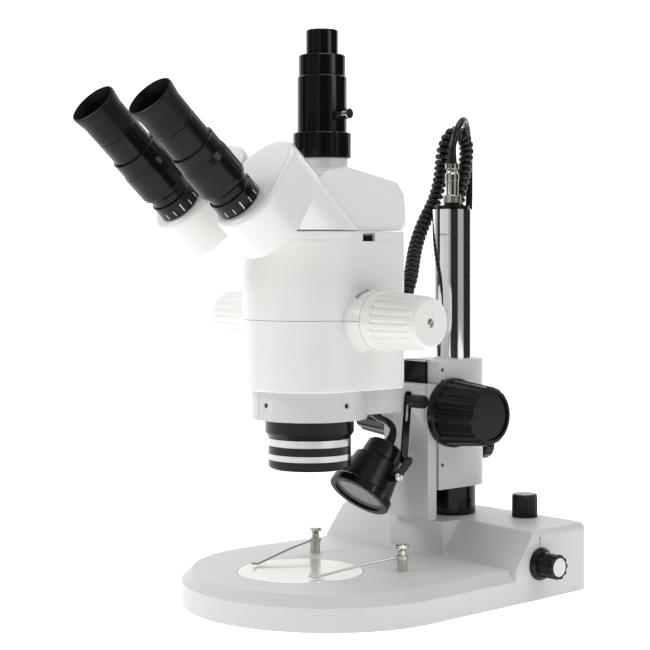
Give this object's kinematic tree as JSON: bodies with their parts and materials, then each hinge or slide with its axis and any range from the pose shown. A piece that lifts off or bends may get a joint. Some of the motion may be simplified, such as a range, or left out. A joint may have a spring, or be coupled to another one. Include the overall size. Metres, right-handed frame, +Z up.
{
  "type": "stereo microscope",
  "caption": "Trinocular zoom stereo microscope on a post stand with a lit base, a focusing arm, a tilting lamp on a curly cord and a camera tube.",
  "frame": {"origin": "on the floor under the middle of the stage plate", "axes": "+Z up, +Y from the user towards the post, +X to the user's right"},
  "size_m": [0.2432, 0.3852, 0.4326],
  "materials": {
    "base_paint": "satin",
    "body_enamel": "gloss",
    "arm_paint": "satin",
    "milk_glass": "satin",
    "post_chrome": "polished",
    "nickel": "polished",
    "steel": "satin",
    "brass": "satin",
    "black_plastic": "satin",
    "black_gloss": "gloss",
    "black_anodised": "satin",
    "silver_ring": "satin",
    "knob_plastic": "gloss",
    "lens_glass": "polished",
    "rubber_black": "matte",
    "circuit_board": "satin",
    "cord_rubber": "satin"
  },
  "bodies": {
    "base": {"base_shell": "base_paint", "bottom_cover": "steel", "cover_screws": "steel", "rubber_feet": "rubber_black", "stage_plate": "milk_glass", "led_board": "circuit_board", "power_board": "circuit_board", "power_inlet": "black_plastic", "clip_posts": "nickel", "post_tube": "post_chrome", "post_cap": "black_plastic", "cable_plug": "nickel"},
    "clip_right": {"clip_arm_right": "steel"},
    "clip_left": {"clip_arm_left": "steel"},
    "dimmer": {"dimmer_knob": "black_plastic"},
    "switch": {"switch_knob": "black_plastic", "switch_cap": "silver_ring"},
    "collar": {"stop_collar": "black_anodised", "cord_tail": "cord_rubber"},
    "block": {"focus_block": "arm_paint", "gib_screws": "steel", "pinion_bushes": "brass"},
    "block_clamp": {"clamp_screw": "black_plastic"},
    "pinion": {"pinion_shaft": "steel", "focus_knob_right": "black_plastic", "focus_knob_left": "black_plastic"},
    "carriage": {"carriage": "arm_paint", "dovetail_slide": "black_anodised", "cord_coil": "cord_rubber"},
    "hanger_screw": {"hanger_thumbscrew": "black_plastic"},
    "hanger": {"lamp_hanger": "black_anodised", "lamp_pivot_screw": "nickel", "cord_lead": "cord_rubber"},
    "lamp": {"lamp_shell": "black_plastic", "lamp_rim": "black_gloss", "lamp_window": "lens_glass"},
    "scope": {"body_lower": "body_enamel", "body_upper": "body_enamel", "head_lock_screw": "black_plastic", "channel_tubes": "black_anodised", "objective_mount": "black_anodised", "objective_barrel": "black_anodised", "objective_rings": "silver_ring", "objective_lens": "lens_glass", "head_shell": "body_enamel", "photo_clamp_ring": "black_gloss", "photo_tube": "black_gloss", "photo_adapter": "black_gloss"},
    "photo_lock": {"photo_lock_screw": "nickel"},
    "zoom": {"zoom_shaft": "steel", "zoom_knob_right": "knob_plastic", "zoom_knob_left": "knob_plastic"},
    "oculars_right": {"housing_right": "body_enamel", "eyepiece_right": "black_anodised", "eyecup_right": "rubber_black"},
    "oculars_left": {"housing_left": "body_enamel", "eyepiece_left": "black_anodised", "eyecup_left": "rubber_black"},
    "dioptre_right": {"dioptre_ring_right": "black_anodised"},
    "dioptre_left": {"dioptre_ring_left": "black_anodised"}
  },
  "joints": [
    {"name": "column_height", "type": "slide", "parent": "base", "child": "collar", "axis": [0, 0, 1], "range_m": [0, 0.06], "deforming": ["cord_tail", "cord_coil", "cord_lead"]},
    {"name": "column_swivel", "type": "hinge", "parent": "collar", "child": "block", "pos_m": [0, 0.162, 0], "axis": [0, 0, 1], "range_deg": [-40, 40], "deforming": ["cord_tail", "cord_coil", "cord_lead"]},
    {"name": "block_clamp_turn", "type": "hinge", "parent": "block", "child": "block_clamp", "pos_m": [0, 0.162, 0.105], "axis": [0, 1, 0], "range_deg": [-90, 90]},
    {"name": "focus", "type": "slide", "parent": "block", "child": "carriage", "axis": [0, 0, 1], "range_m": [0, 0.045], "deforming": ["cord_tail", "cord_coil", "cord_lead"]},
    {"name": "focus_pinion", "type": "hinge", "parent": "block", "child": "pinion", "pos_m": [0, 0.1352, 0.137], "axis": [1, 0, 0], "range_deg": [-645, 5]},
    {"name": "scope_turn", "type": "hinge", "parent": "carriage", "child": "scope", "pos_m": [0, 0.009, 0], "axis": [0, 0, 1], "range_deg": [-40, 40], "deforming": ["cord_coil", "cord_lead"]},
    {"name": "zoom_turn", "type": "hinge", "parent": "scope", "child": "zoom", "pos_m": [0, 0.022, 0.214], "axis": [1, 0, 0], "range_deg": [-90, 90]},
    {"name": "photo_lock_turn", "type": "hinge", "parent": "scope", "child": "photo_lock", "pos_m": [0, 0.0215, 0.3675], "axis": [1, 0, 0], "range_deg": [-90, 180]},
    {"name": "eye_spacing_right", "type": "hinge", "parent": "scope", "child": "oculars_right", "pos_m": [0.029, -0.06077, 0.32563], "axis": [0, -0.7396, 0.673], "range_deg": [-14, 4]},
    {"name": "eye_spacing_left", "type": "hinge", "parent": "scope", "child": "oculars_left", "pos_m": [-0.029, -0.06077, 0.32563], "axis": [0, -0.7396, 0.673], "range_deg": [-4, 14]},
    {"name": "dioptre_turn_right", "type": "hinge", "parent": "oculars_right", "child": "dioptre_right", "pos_m": [0.0349, -0.085, 0.299], "axis": [0, -0.7396, 0.673], "range_deg": [-120, 120]},
    {"name": "dioptre_turn_left", "type": "hinge", "parent": "oculars_left", "child": "dioptre_left", "pos_m": [-0.0349, -0.085, 0.299], "axis": [0, -0.7396, 0.673], "range_deg": [-120, 120]},
    {"name": "hanger_screw_turn", "type": "hinge", "parent": "carriage", "child": "hanger_screw", "pos_m": [0, 0.0895, 0.149], "axis": [1, 0, 0], "range_deg": [-90, 180]},
    {"name": "lamp_arm", "type": "hinge", "parent": "carriage", "child": "hanger", "pos_m": [0, 0.0895, 0.149], "axis": [1, 0, 0], "range_deg": [-3, 6], "deforming": ["cord_coil", "cord_lead"]},
    {"name": "lamp_tilt", "type": "hinge", "parent": "hanger", "child": "lamp", "pos_m": [0, 0.07252, 0.09147], "axis": [1, 0, 0], "range_deg": [-8, 28], "deforming": ["cord_lead"]},
    {"name": "clip_swing_right", "type": "hinge", "parent": "base", "child": "clip_right", "pos_m": [0.05, 0.0575, 0.025], "axis": [0, 0, 1], "range_deg": [-22, 22]},
    {"name": "clip_swing_left", "type": "hinge", "parent": "base", "child": "clip_left", "pos_m": [-0.05, 0.0575, 0.025], "axis": [0, 0, 1], "range_deg": [-22, 22]},
    {"name": "dimmer_turn", "type": "hinge", "parent": "base", "child": "dimmer", "pos_m": [0.054, 0.19, 0.052], "axis": [0, 0, 1], "range_deg": [-135, 135]},
    {"name": "switch_turn", "type": "hinge", "parent": "base", "child": "switch", "pos_m": [0.1076, 0.148, 0.027], "axis": [1, 0, 0], "range_deg": [-90, 0]}
  ],
  "couplings": [
    {"joint": "focus_pinion", "follows": "focus", "rad_per_m": -250},
    {"joint": "eye_spacing_left", "follows": "eye_spacing_right", "ratio": -1}
  ]
}
